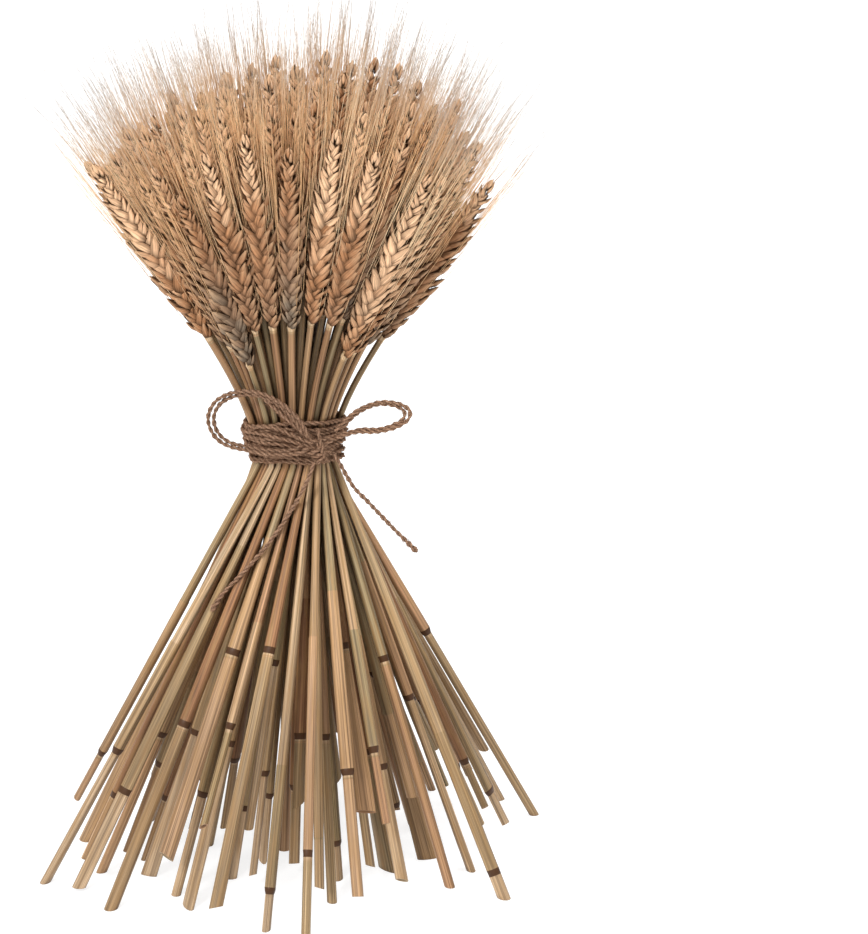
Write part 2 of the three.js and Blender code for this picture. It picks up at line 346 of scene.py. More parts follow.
def plant_stalks():
    """The stalks in the rows of a triangular lattice, as they are packed in the waist."""
    draws = Draws(SEED)
    stalks = []
    for row, count in enumerate(STALKS_PER_ROW):
        y = (row - (len(STALKS_PER_ROW) - 1) / 2) * ROW_SPACING
        shift = (row % 2 - 0.5) * 0.5 * STALK_SPACING
        for place in range(count):
            x = (place - (count - 1) / 2) * STALK_SPACING + shift
            stalks.append(Stalk(x, y, draws))
    return stalks


class Skin:
    """Faces gathered for one mesh, with what its materials need at each point."""

    def __init__(self):
        self.points = []
        self.faces = {3: [], 4: []}
        self.slots = {3: [], 4: []}
        self.tones = []
        self.marks = []
        self.grains = []
        self.count = 0

    def add(self, points, faces, slot, tone, mark, grain):
        """Adds faces of three or four corners, given as arrays of indices into these points."""
        points = np.asarray(points, float).reshape(-1, 3)
        for face in faces:
            corners = face.shape[1]
            self.faces[corners].append(face + self.count)
            self.slots[corners].append(np.full(len(face), slot))
        self.points.append(points)
        self.tones.append(np.broadcast_to(np.asarray(tone, float), len(points)))
        self.marks.append(np.broadcast_to(np.asarray(mark, float), len(points)))
        self.grains.append(np.broadcast_to(np.asarray(grain, float), (len(points), 3)))
        self.count += len(points)

    def make(self, name, materials):
        """The object in metres."""
        mesh = bpy.data.meshes.new(name)
        stacks = {corners: np.concatenate(faces) for corners, faces in self.faces.items() if faces}
        corners = np.concatenate([stack.ravel() for stack in stacks.values()])
        totals = np.concatenate([np.full(len(stack), width) for width, stack in stacks.items()])
        slots = np.concatenate([np.concatenate(self.slots[width]) for width in stacks])
        mesh.vertices.add(self.count)
        mesh.vertices.foreach_set("co", (np.concatenate(self.points) * MM).astype(np.float32).ravel())
        mesh.loops.add(len(corners))
        mesh.loops.foreach_set("vertex_index", corners.astype(np.int32))
        mesh.polygons.add(len(totals))
        starts = np.concatenate([[0], np.cumsum(totals)[:-1]])
        mesh.polygons.foreach_set("loop_start", starts.astype(np.int32))
        mesh.polygons.foreach_set("material_index", slots.astype(np.int32))
        mesh.polygons.foreach_set("use_smooth", np.ones(len(totals), bool))
        for label, kind, field, values in (
            ("tone", "FLOAT", "value", self.tones),
            ("mark", "FLOAT", "value", self.marks),
            ("grain", "FLOAT_VECTOR", "vector", self.grains),
        ):
            attribute = mesh.attributes.new(label, kind, "POINT")
            attribute.data.foreach_set(field, np.concatenate(values).astype(np.float32).ravel())
        mesh.update(calc_edges=True)
        for material in materials:
            mesh.materials.append(material)
        piece = bpy.data.objects.new(name, mesh)
        bpy.context.scene.collection.objects.link(piece)
        return piece


def dress(piece, node):
    """Puts a piece on the one body, in place of a solid."""
    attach(piece, "root")
    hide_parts(node)


def wall_faces(rings, sides):
    """Four-cornered faces between rings of points that follow each other."""
    ring = np.arange(rings - 1)[:, None] * sides
    side = np.arange(sides)[None, :]
    low = ring + side
    next_low = ring + (side + 1) % sides
    return np.stack([low, next_low, next_low + sides, low + sides], axis=-1).reshape(-1, 4)


def fan_faces(first, sides, point):
    """Three-cornered faces from a ring of points to one point."""
    side = np.arange(sides)
    return np.stack([first + side, first + (side + 1) % sides, np.full(sides, point)], axis=-1)


def repeat_faces(faces, size, count):
    """The faces of one small shape for each of its copies."""
    shift = (np.arange(count) * size)[:, None, None]
    return (faces[None] + shift).reshape(-1, faces.shape[1])


# Straws.


def ring_points(frames, width, depth, lap, turn):
    """Oval rings of points round a line, turned by an angle; a sheath's edge may lap over itself."""
    centre, _, across, beside = frames
    side = np.arange(STRAW_SIDES) / STRAW_SIDES
    swell = 1 + lap[:, None] * side[None]
    broad = across * math.cos(turn) + beside * math.sin(turn)
    deep = beside * math.cos(turn) - across * math.sin(turn)
    outward = broad[:, None] * (np.cos(2 * math.pi * side) * width[:, None] * swell)[..., None]
    outward = outward + deep[:, None] * (np.sin(2 * math.pi * side) * depth[:, None] * swell)[..., None]
    return centre[:, None] + outward


def straw_heights(foot, neck, tip, joint, sheath):
    """The heights of a straw's rings, close together at its joint, its sheath's end and its neck."""
    heights = [
        np.linspace(foot, BASE_TOP, BASE_RINGS),
        np.linspace(*TIE_STRETCH, TIE_RINGS),
        np.linspace(STEM_FOOT, neck - STEM_GAP, STEM_RINGS),
        neck + np.array(NECK_PLACES),
        np.linspace(neck + EAR_GAP, tip, STEM_RINGS),
        joint + np.array(JOINT_PLACES),
        sheath + np.array(SHEATH_PLACES),
    ]
    heights = np.concatenate(heights)
    return np.unique(np.append(heights[heights > foot + FOOT_GAP], foot))


def add_straw(skin, stalk, tone, rng):
    """A straw with its joint, the leaf sheath above it, its hollow cut foot, and the ear's middle stem."""
    foot = stalk.foot_height - TIE_HEIGHT
    neck = float(stalk.height_at(stalk.neck_length))
    tip = float(stalk.height_at(stalk.neck_length + stalk.ear_length - EAR_TIP_ROOM))
    joint = -TIE_HEIGHT + rng.uniform(*JOINT_HEIGHT)
    sheath = joint + rng.uniform(*SHEATH_LENGTH)
    height = straw_heights(foot, neck, tip, joint, sheath)

    slim = rng.uniform(*STRAW_SLIMNESS)
    waist = STRAW_WAIST_RADIUS * slim
    middle = between((waist, stalk.foot_radius), MIDDLE_SHARE)
    places = [-TIE_HEIGHT, MIDDLE_HEIGHT, -BAND_HALF, BAND_HALF, neck - NECK_TAPER, neck, tip]
    radii = [stalk.foot_radius, middle, waist, waist]
    radii += [STRAW_NECK_RADIUS * slim, STRAW_NECK_RADIUS * slim, STRAW_TIP_RADIUS]
    radius = np.interp(height, places, radii)
    has_joint = rng.random() < JOINT_SHARE
    dark = has_joint * (np.abs(height - joint) < JOINT_HALF + PLACE_SLACK)
    below = has_joint * (height < joint)
    sheathed = (height > joint) * (height < sheath)
    radius = radius * np.where(below, rng.choice([BELOW_JOINT, 1.0]), 1) * (1 + JOINT_SWELL * dark)
    radius = radius + COLLAR_SWELL * np.maximum(0, 1 - np.abs(height - neck) / COLLAR_HALF)

    flat = rng.uniform(0, FOOT_FLATNESS) * (1 - smoothstep(height, *FLAT_HEIGHTS))
    width = radius * (1 + flat)
    depth = radius * (1 - FLAT_THINNING * flat)
    if rng.random() < FLARE_SHARE:
        opened = 1 - smoothstep(height, foot, foot + FLARE_LENGTH)
        width = width * (1 + (FLARE - 1) * opened)
        depth = depth * (1 - FLARE_THINNING * opened)
    frames = stalk.frames(height)
    lap = SHEATH_LAP * rng.uniform(*SHEATH_LAPS) * sheathed
    rings = ring_points(frames, width, depth, lap, rng.uniform(-math.pi, math.pi))
    along = frames[1][0]
    rings[0] = cut_ring(rings[0], along, stalk.foot_height, rng)

    rim = below * (height > joint - JOINT_HALF - JOINT_RIM - PLACE_SLACK) * (1 - dark)
    collar = np.abs(height - neck) < COLLAR_HALF
    tones = np.where(height > 0, NECK_TONES * tone, tone + PART_TONE * below - PART_TONE * sheathed)
    tones = np.where(rim + collar > 0, RIM_TONE, tones)
    # Painted shade on the neck below the ears, together with the dark joints and a darkening towards the
    # foot.
    shade = NECK_SHADE * smoothstep(height, -BAND_HALF, NECK_SHADE_TOP) * (height < neck - NECK_BARE)
    shade = np.maximum(dark, shade + LOW_SHADE * (1 - smoothstep(height, *LOW_SHADE_HEIGHTS)))
    angle = 2 * math.pi * np.arange(STRAW_SIDES) / STRAW_SIDES
    around = np.stack([np.cos(angle), np.sin(angle), np.zeros(STRAW_SIDES)], axis=1)
    grain = around[None] + np.array([0, 0, 1]) * (height[:, None, None] / GRAIN_LENGTH + GRAIN_SHIFT * tone)
    points = np.concatenate([rings.reshape(-1, 3), frames[0][-1:] + frames[1][-1:] * STEM_END])
    top = fan_faces((len(height) - 1) * STRAW_SIDES, STRAW_SIDES, len(points) - 1)
    marks = np.append(np.repeat(shade, STRAW_SIDES), 0)
    grains = np.concatenate([grain.reshape(-1, 3), [[0, 0, 0]]])
    walls = wall_faces(len(height), STRAW_SIDES)
    skin.add(points, [walls, top], STRAW_SLOT, np.append(np.repeat(tones, STRAW_SIDES), tone), marks, grains)
    add_hollow(skin, rings[0], along, tone)


def cut_ring(ring, along, foot_height, rng):
    """The foot's ring on the plane of its cut: level on the floor, and at some slant above it."""
    cut = np.array([0.0, 0.0, 1.0])
    if foot_height > LEVEL_CUTS:
        cut = unit(along + CUT_TILT * rng.uniform(-1, 1, 3))
    level = ring.mean(axis=0)
    level[2] = foot_height
    ring = ring + (((level - ring) @ cut) / (along @ cut))[:, None] * along
    return ring + along * max(0, -ring[:, 2].min()) / along[2]


def add_hollow(skin, rim, along, tone):
    """The pale wall of a cut foot, and the hollow inside it, dark with painted shade."""
    middle = rim.mean(axis=0)
    inner = middle + (rim - middle) * WALL
    points = np.concatenate([rim, inner, inner + along * HOLLOW_DEPTH, middle[None] + along * HOLLOW_DEPTH])
    faces = [wall_faces(3, STRAW_SIDES), fan_faces(2 * STRAW_SIDES, STRAW_SIDES, 3 * STRAW_SIDES)]
    # Painted shade, deeper down the hollow.
    shade = np.append(np.repeat(HOLLOW_SHADES, STRAW_SIDES), HOLLOW_SHADES[-1])
    skin.add(points, [face[:, ::-1] for face in faces], STRAW_SLOT, tone, shade, (0, 0, tone))


# Ears.

# The husks of one spikelet: how far its root is to the depth, outwards and up; its lean to the depth and
# outwards, in degrees; its length, half width and half thickness; and the way that its back faces, outwards
# and to the depth.
SPIKELET = [
    (-2.0, 0.2, 0.0, 3, 0, 13.0, 2.9, 1.5, 0.3, -0.95),
    (2.0, 0.2, 0.0, -3, 0, 13.0, 2.9, 1.5, 0.3, 0.95),
    (0.0, 1.4, 2.6, 0, 7, 12.0, 2.6, 1.7, 1.0, 0.0),
    (-1.9, 2.0, -0.5, -2, 9, 9.8, 2.3, 1.1, 0.6, -0.8),
    (1.9, 2.0, -0.5, 2, 9, 9.8, 2.3, 1.1, 0.6, 0.8),
]
AWNED_HUSKS = 3
HUSK_RINGS = (0.03, 0.24, 0.54, 0.83)
HUSK_WIDTHS = (0.6, 1.0, 0.93, 0.46)
HUSK_KEEL = 1.45
HUSK_HOLLOW = 0.6
HUSK_BULGE = 0.35
HUSK_START = (0, 0, -0.05)
HUSK_END = (0, 0.15, 1.0)
KEEL_SINE = 0.9


def husk_template():
    """A pointed husk of unit size with a keel along its back: its points, walls, ends and grain."""
    angle = math.pi / 2 + 2 * math.pi * np.arange(HUSK_SIDES) / HUSK_SIDES
    keel = np.where(np.sin(angle) > KEEL_SINE, HUSK_KEEL, np.where(np.sin(angle) < 0, HUSK_HOLLOW, 1))
    rows = []
    grains = []
    for share, width in zip(HUSK_RINGS, HUSK_WIDTHS):
        bulge = HUSK_BULGE * math.sin(math.pi * share)
        row = [width * np.cos(angle), width * keel * np.sin(angle) + bulge, np.full(HUSK_SIDES, share)]
        rows.append(np.stack(row, axis=1))
        grains.append(np.stack([np.cos(angle), np.sin(angle), np.full(HUSK_SIDES, share)], axis=1))
    rings = len(HUSK_RINGS)
    points = np.concatenate([*rows, [HUSK_START], [HUSK_END]])
    grain = np.concatenate([*grains, [[0, 0, 0]], [[0, 1, 1]]])
    below = fan_faces(0, HUSK_SIDES, rings * HUSK_SIDES)[:, ::-1]
    above = fan_faces((rings - 1) * HUSK_SIDES, HUSK_SIDES, rings * HUSK_SIDES + 1)
    return points, wall_faces(rings, HUSK_SIDES), np.concatenate([below, above]), grain


HUSK_POINTS, HUSK_WALLS, HUSK_ENDS, HUSK_GRAIN = husk_template()


def fullness(share):
    """How large a spikelet is along the ear."""
    full_from, full_to = FULL_STRETCH
    growth = between((LOW_FULLNESS, 1), smoothstep(share, 0, full_from))
    return growth * (1 - TIP_LOSS * smoothstep(share, full_to, 1))


def add_husks(skin, origin, direction, back, size, tone, rng):
    """One husk at each origin, of its length, half width and half thickness; gives their tips."""
    count = len(origin)
    direction = unit(direction)
    across = unit(np.cross(back, direction))
    back = np.cross(direction, across)
    axes = np.stack([across * size[1], back * size[2], direction * size[0]], axis=1)
    points = origin[:, None] + np.einsum("vk,nkj->nvj", HUSK_POINTS, axes)
    faces = [repeat_faces(part, len(HUSK_POINTS), count) for part in (HUSK_WALLS, HUSK_ENDS)]
    own = rng.uniform(0, HUSK_GRAINS, (count, 1, 1)) * np.array([0, 0, 1])
    grain = (HUSK_GRAIN[None] + own).reshape(-1, 3)
    # The mark is the share along the husk, which the material uses for pale tips and painted shade at the
    # root.
    mark = np.tile(HUSK_GRAIN[:, 2], count)
    tones = np.repeat(tone + rng.normal(0, HUSK_SCATTER, count), len(HUSK_POINTS))
    skin.add(points, faces, HUSK_SLOT, tones, mark, grain)
    return points[:, -1]


def add_ear(skin, stalk, tone, rng):
    """Two rows of spikelets that stand out in turn, two at the tip, and the awns of their husks."""
    order = np.arange(SPIKELETS + 2)
    share = np.minimum((order + FIRST_PLACE) / (SPIKELETS + 2 * FIRST_PLACE), 1)
    length = stalk.neck_length + share * (stalk.ear_length - EAR_TIP_ROOM)
    centre, along, broad, depth = stalk.ear_frames(length)
    side = np.where(order % 2 == 0, 1.0, -1.0)[:, None]
    at_tip = (order >= SPIKELETS)[:, None]
    lean = SPIKELET_LEAN + rng.uniform(-LEAN_SCATTER, LEAN_SCATTER, (len(order), 1))
    lean = np.radians(np.where(at_tip, TIP_LEAN, lean))
    outside = side * np.where(at_tip, depth, broad)
    deep = np.where(at_tip, broad, depth)
    axis = along * np.cos(lean) + outside * np.sin(lean)
    out = outside * np.cos(lean) - along * np.sin(lean)
    size = (fullness(share) * rng.uniform(*HUSK_SIZES, len(order)))[:, None]
    # The ear's tone is greyer and darker at its foot, for the greyer lowest spikelets with painted shade
    # among the necks, and painted lighter towards its top as if lit from above.
    tone_with_painted_light = tone - FOOT_GREY_AND_SHADE * (1 - smoothstep(share, *FOOT_GREY_AND_SHADE_STRETCH))
    tone_with_painted_light = tone_with_painted_light + PAINTED_TOP_LIGHT * smoothstep(share, *PAINTED_TOP_LIGHT_STRETCH)
    root = centre + outside * np.where(at_tip, 0, ROOT_OFFSET)
    roots = []
    for index, husk in enumerate(SPIKELET):
        to_depth, outwards, up, depth_lean, out_lean, *own_size, face_out, face_depth = husk
        origin = root + size * (deep * to_depth + out * outwards + axis * up)
        direction = axis + deep * math.tan(math.radians(depth_lean)) + out * math.tan(math.radians(out_lean))
        direction = direction + rng.normal(0, HUSK_WANDER, direction.shape)
        back = unit(out * face_out + deep * face_depth)
        tips = add_husks(skin, origin, direction, back, [size * value for value in own_size], tone_with_painted_light, rng)
        if index < AWNED_HUSKS:
            roots.append(tips)
    roots = np.concatenate(roots)
    bases = np.tile(length, AWNED_HUSKS)
    chosen = rng.random(len(roots)) < np.tile(between(AWN_SHARE, share), AWNED_HUSKS)
    add_awns(skin, stalk, roots[chosen], bases[chosen], tone, rng)


def add_awns(skin, stalk, roots, bases, tone, rng):
    """A slim tapering awn from each root, fanning out past the ear's tip."""
    count = len(roots)
    longer = SIDE_AWNS * abs(stalk.waist[0]) / WAIST_RADIUS
    reach = (stalk.awn_reach + longer) * rng.uniform(*AWN_REACHES, count)
    furthest = stalk.neck_length + stalk.ear_length + reach
    end_length = np.minimum(furthest, bases + rng.uniform(*AWN_LENGTH, count))
    root_centre, _, root_broad, root_depth = stalk.ear_frames(bases + EAR_TIP_ROOM)
    centre, along, broad, depth = stalk.ear_frames(end_length)
    out = roots - root_centre
    angle = np.arctan2(np.sum(out * root_depth, axis=1), np.sum(out * root_broad, axis=1))
    angle = angle + rng.normal(0, AWN_SCATTER, count)
    aside = np.linalg.norm(out, axis=1) * AWN_ROOT_SHARE + rng.uniform(*AWN_SPLAY, count)
    outward = broad * np.cos(angle)[:, None] + depth * np.sin(angle)[:, None]
    ends = centre + outward * aside[:, None]
    span = np.linalg.norm(ends - roots, axis=1)[:, None]
    bend = roots + along * span * 0.5 + outward * span * rng.uniform(*AWN_BENDS, count)[:, None]
    share = np.linspace(0, AWN_LAST_RING, AWN_RINGS)
    near = share[None, :, None]
    line = roots[:, None] * (1 - near) ** 2 + bend[:, None] * 2 * near * (1 - near) + ends[:, None] * near**2
    across = unit(np.cross(ends - roots, outward))
    other = unit(np.cross(ends - roots, across))
    turn = (2 * math.pi * np.arange(AWN_SIDES) / AWN_SIDES)[:, None]
    radius = AWN_RADIUS * (1 - AWN_TAPER * near[..., None])
    around = across[:, None, None] * np.cos(turn) + other[:, None, None] * np.sin(turn)
    rings = (line[:, :, None] + radius * around).reshape(count, -1, 3)
    points = np.concatenate([rings, ends[:, None]], axis=1)
    size = points.shape[1]
    closing = np.concatenate([[[0, 2, 1]], fan_faces(AWN_SIDES * (AWN_RINGS - 1), AWN_SIDES, size - 1)])
    faces = [repeat_faces(part, size, count) for part in (wall_faces(AWN_RINGS, AWN_SIDES), closing)]
    # An awn's mark tells how far it has come out from among the ears.
    covered = stalk.neck_length + stalk.ear_length + AWN_COVER * (stalk.waist[1] / WAIST_RADIUS) ** 2
    placed = bases[:, None] + (end_length - bases)[:, None] * np.append(np.repeat(share, AWN_SIDES), 1)
    tones = np.repeat(tone + rng.normal(0, AWN_TONE_SCATTER, count), size)
    skin.add(points, faces, AWN_SLOT, tones, ((placed - covered) / AWN_FADE).ravel(), (0, 0, 0))


# Twine.


def twine_path(points):
    """Evenly spaced points on a smooth line through points that are given from the tie's middle."""
    points = np.asarray(points, float) + (0, 0, TIE_HEIGHT)
    ends = np.concatenate([[2 * points[0] - points[1]], points, [2 * points[-1] - points[-2]]])
    t = np.linspace(0, 1, CURVE_STEPS, endpoint=False)[:, None]
    line = []
    for before, start, end, after in zip(ends, ends[1:], ends[2:], ends[3:]):
        slope = (end - before) * t
        square = (2 * before - 5 * start + 4 * end - after) * t**2
        cube = (3 * start - before - 3 * end + after) * t**3
        line.append(start + 0.5 * (slope + square + cube))
    line = np.concatenate([*line, points[-1:]])
    run = run_along(line)
    even = np.linspace(0, run[-1], int(run[-1] / TWINE_STEP))
    return np.stack([np.interp(even, run, line[:, k]) for k in range(3)], axis=1)


def run_along(line):
    """The length of a line of points up to each of them."""
    return np.concatenate([[0], np.cumsum(np.linalg.norm(np.diff(line, axis=0), axis=1))])


def add_twine(skin, line, reference, rng, swell=0.0):
    """Two-ply twisted twine along a line of points, with rounded ends; its last stretch may swell."""
    along = unit(np.gradient(line, axis=0))
    across = unit(np.cross(along, reference))
    beside = np.cross(along, across)
    run = run_along(line)
    angle = 2 * math.pi * np.arange(TWINE_SIDES) / TWINE_SIDES
    lobes = 1 - TWINE_LOBE + TWINE_LOBE * np.cos(2 * angle)
    turn = 2 * math.pi * run[:, None] / TWINE_PITCH + angle[None]
    wave = TWINE_WAVE * np.sin(run / WAVE_LENGTH + rng.uniform(*WAVE_STARTS))
    size = TWINE_RADIUS * TWINE_FULLNESS * (1 + wave)
    size = size * (1 + swell * smoothstep(run, run[-1] - SWELL_STRETCH[0], run[-1] - SWELL_STRETCH[1]))
    size = size * np.sqrt(np.clip(END_SHARE + np.minimum(run, run[-1] - run) / TWINE_RADIUS, 0, 1))
    reach = size[:, None] * lobes[None] * rng.uniform(*PLY_ROUGHNESS, turn.shape)
    rings = line[:, None] + across[:, None] * (reach * np.cos(turn))[..., None]
    rings = rings + beside[:, None] * (reach * np.sin(turn))[..., None]
    count = len(line) * TWINE_SIDES
    points = np.concatenate([rings.reshape(-1, 3), line[:1], line[-1:]])
    start = fan_faces(0, TWINE_SIDES, count)[:, ::-1]
    end = fan_faces(count - TWINE_SIDES, TWINE_SIDES, count + 1)
    # The mark is low in the grooves between the plies, where the material paints shade.
    mark = np.append(np.tile(np.abs(np.cos(angle)), len(line)), [1, 1])
    level = np.repeat(run / TWINE_GRAIN + rng.uniform(*TWINE_GRAINS), TWINE_SIDES)
    grain = np.stack([np.tile(np.cos(angle), len(line)), np.tile(np.sin(angle), len(line)), level], axis=1)
    grains = np.concatenate([grain, grain[:1], grain[-1:]])
    faces = [wall_faces(len(line), TWINE_SIDES), np.concatenate([start, end])]
    skin.add(points, faces, TWINE_SLOT, rng.uniform(*STRAND_SPAN), mark, grains)


FIBRE_RADIUS = 0.09
FIBRE_CORNERS = 7
FIBRE_ROOT = 0.7
FIBRE_LIFT = 0.6
FIBRE_LEAN = 0.9
FIBRE_FIRST = 0.6
FIBRE_END_LIFT = 0.25
FIBRE_WANDER = 0.3
FIBRE_TONES = (0.4, 1.0)
FIBRE_GRAIN = (0.3, 0.5, 0)


def add_fibres(skin, line, count, reach, rng):
    """Loose hairs of jute that stand off a length of twine."""
    index = rng.integers(1, len(line) - 1, count)
    along = unit(line[index + 1] - line[index - 1])
    outward = rng.normal(0, 1, (count, 3))
    outward = unit(outward - along * np.sum(outward * along, axis=1, keepdims=True))
    start = line[index] + outward * TWINE_RADIUS * FIBRE_ROOT
    length = rng.uniform(*reach, count)[:, None]
    lean = along * rng.choice([-1.0, 1.0], count)[:, None]
    middle = start + (outward * FIBRE_LIFT + lean * FIBRE_LEAN) * length * FIBRE_FIRST
    wander = rng.normal(0, FIBRE_WANDER, (count, 3))
    end = middle + (outward * FIBRE_END_LIFT + lean + wander) * length
    aside = unit(np.cross(along, outward)) * FIBRE_RADIUS
    raised = outward * FIBRE_RADIUS
    points = np.stack(
        [start, start + aside, start + raised, middle, middle + aside, middle + raised, end], axis=1
    )
    closing = np.concatenate([[[0, 2, 1]], fan_faces(3, 3, FIBRE_CORNERS - 1)])
    faces = [repeat_faces(part, FIBRE_CORNERS, count) for part in (wall_faces(2, 3), closing)]
    tones = np.repeat(rng.uniform(*FIBRE_TONES, count), FIBRE_CORNERS)
    skin.add(points, faces, TWINE_SLOT, tones, 1.0, FIBRE_GRAIN)


FACINGS = 180
LEAST_LEANING = 0.1


def tie_line(stalks, angle, height, layer):
    """A line of twine drawn tight round the stalks at angles and heights, in the first layer or over it."""
    facing = np.linspace(0, 2 * math.pi, FACINGS, endpoint=False)
    waist = np.array([stalk.waist for stalk in stalks])
    opening = spread(height)
    widths = waist[None, :, 0] * opening[:, :1]
    depths = waist[None, :, 1] * opening[:, 1:]
    reach = np.full(len(angle), np.inf)
    for way in facing:
        support = np.max(widths * math.cos(way) + depths * math.sin(way), axis=1)
        leaning = np.cos(angle - way)
        support = support + STRAW_WAIST_RADIUS + TWINE_RADIUS
        drawn = np.minimum(reach, support / np.maximum(leaning, LEAST_LEANING))
        reach = np.where(leaning > LEAST_LEANING, drawn, reach)
    reach = reach + layer
    return np.stack([reach * np.cos(angle), reach * np.sin(angle), TIE_HEIGHT + height], axis=1)


# Turns of twine that cross over the others: their tilt, the angle of their lowest point, their middle, and
# how far they stand out over the first layer.
CROSSING_TURNS = [
    (3.5, -45, 1.5, 2.0),
    (3.0, -30, -3.0, 2.1),
    (2.5, -80, 4.5, 2.0),
    (3.0, -15, -6.5, 2.0),
]
# Strands that run over the band to the knot, as points right of, behind and above the tie's middle.
BUNDLE = [
    [(-13, -25, 24.5), (-7, -26, 19), (0, -27, 13), (7, -27.3, 7), (12, -27, 2.5)],
    [(-22, -12, 3), (-16, -19.5, 8), (-7, -23.6, 8.5), (3, -25.8, 4.5), (12, -26.5, 0.5)],
    [(-24, -6, 2.5), (-20.5, -15.5, 4.5), (-8, -22.6, 3.8), (4, -25.4, 1.2), (13, -26, -1.5)],
    [(-12, -19.5, 21.5), (-4, -24.5, 18), (4, -27, 11), (11, -27.5, 4.5)],
    [(-9, -24, 21), (-4, -25.3, 16), (2, -26.3, 11), (10, -26.8, 5)],
]
BAND_START = 90
BAND_DROOP = 2.2
TURN_STEP = 0.03
CROSSING_LENGTH = 2.04
BAND_SIDE = (0, 0, 1.0)
BUNDLE_SIDE = (0.1, 1.0, 0.2)
BAND_FIBRES = 1400
BAND_HAIRS = (1.0, 2.6)
CROSSING_FIBRES = 260
BUNDLE_FIBRES = 120
BUNDLE_HAIRS = (1.0, 2.4)
# Waves along the turns: their size, rate and start.
BAND_WAVES = [(0.5, 1.3, 0), (0.35, 2.7, 1)]
BAND_DEPTH = [(0.25, 1.9, 0)]
CROSSING_DEPTH = [(0.2, 3, 0)]


def waves(angle, rows):
    return sum(size * np.sin(rate * angle + start) for size, rate, start in rows)


def make_band(stalks, material):
    """The turns round the waist, with a few that cross over them, and the hairs on them."""
    rng = np.random.default_rng(BAND_SEED)
    skin = Skin()
    start = math.radians(BAND_START)
    turns = np.arange(0, 2 * math.pi * TWINE_TURNS, TURN_STEP)
    rise = 2 * (BAND_HALF - TWINE_RADIUS) / TWINE_TURNS
    height = -BAND_HALF + TWINE_RADIUS + rise * turns / (2 * math.pi) + waves(turns, BAND_WAVES)
    height = height - BAND_DROOP * np.cos(start + turns) ** 2
    line = tie_line(stalks, start + turns, height, waves(turns, BAND_DEPTH))
    add_twine(skin, line, BAND_SIDE, rng)
    add_fibres(skin, line, BAND_FIBRES, BAND_HAIRS, rng)
    for tilt, low, middle, layer in CROSSING_TURNS:
        angle = np.arange(start, start + CROSSING_LENGTH * math.pi, TURN_STEP)
        height = middle - tilt * np.cos(angle - math.radians(low)) - BAND_DROOP * np.cos(angle) ** 2
        line = tie_line(stalks, angle, height, layer + waves(angle, CROSSING_DEPTH))
        add_twine(skin, line, BAND_SIDE, rng)
        add_fibres(skin, line, CROSSING_FIBRES, BAND_HAIRS, rng)
    for strand in BUNDLE:
        line = twine_path(strand)
        add_twine(skin, line, BUNDLE_SIDE, rng)
        add_fibres(skin, line, BUNDLE_FIBRES, BUNDLE_HAIRS, rng)
    return skin.make("tie_band", [material])


# The knot's short strands, as points right of, behind and above its middle.
KNOT_STRANDS = [
    [(-1.5, 3, 6.6), (-1, -1.8, 6.4), (0.2, -4.2, 2.2), (1.2, -4.4, -2.4), (2.2, -1.8, -6.4), (2.6, 3, -7.4)],
    [(-7.6, -2.4, -3.2), (-3.0, -3.4, -2.4), (1.5, -2.6, 0.6), (5.5, 0.4, 2.6), (8.0, 3.4, 2.8)],
    [(-7.8, -2.4, 2.2), (-3.4, -2.8, 2.6), (1.2, -1.8, 3.4), (4.6, 0.6, 3.6), (6.6, 3.4, 3.0)],
    [(-5.0, -1.6, -5.6), (-1.0, -2.6, -4.4), (3.0, -1.2, -3.0), (6.0, 1.6, -2.6)],
    [(-4.6, -1.0, 4.6), (-1.6, -2.2, 0.6), (0.6, -1.6, -4.8), (-2.0, -2.6, -8.6)],
]
KNOT_SIDE = (0.2, 1.0, 0.1)
KNOT_FIBRES = 40
KNOT_HAIRS = (0.8, 2.0)


def make_knot(material):
    """The knot's strands, over and under each other, with their hairs."""
    rng = np.random.default_rng(KNOT_SEED)
    skin = Skin()
    for strand in KNOT_STRANDS:
        line = twine_path(np.array(strand) + KNOT_CENTRE)
        add_twine(skin, line, KNOT_SIDE, rng)
        add_fibres(skin, line, KNOT_FIBRES, KNOT_HAIRS, rng)
    return skin.make("tie_knot", [material])


CORD_SIDE = (0.1, 1.0, 0.15)
CORD_HAIRS = (0.8, 1.5)
FRAYED_STRETCH = 14
FRAYED_FIBRES = 70
FRAYED_HAIRS = (0.9, 1.7)


def make_cord(name, points, node, far_end, material, seed):
    """A free length of the twine; a bare end is swollen and frayed."""
    rng = np.random.default_rng(seed)
    skin = Skin()
    line = twine_path(points)
    bare = far_end == "bare"
    add_twine(skin, line, CORD_SIDE, rng, swell=BARE_SWELL if bare else 0.0)
    add_fibres(skin, line, len(line), CORD_HAIRS, rng)
    if bare:
        add_fibres(skin, line[-FRAYED_STRETCH:], FRAYED_FIBRES, FRAYED_HAIRS, rng)
    piece = skin.make(name, [material])
    dress(piece, node)


def inner_strand(points, inset):
    """The second strand of a loop, inside the first and a little behind it."""
    outer = np.array(points, float)
    middle = outer.mean(axis=0)
    return middle + (outer - middle) * inset + (0, BEHIND, 0)


# Materials.

MIX_INPUTS = (0, 6, 7)
MIX_RESULT = 2


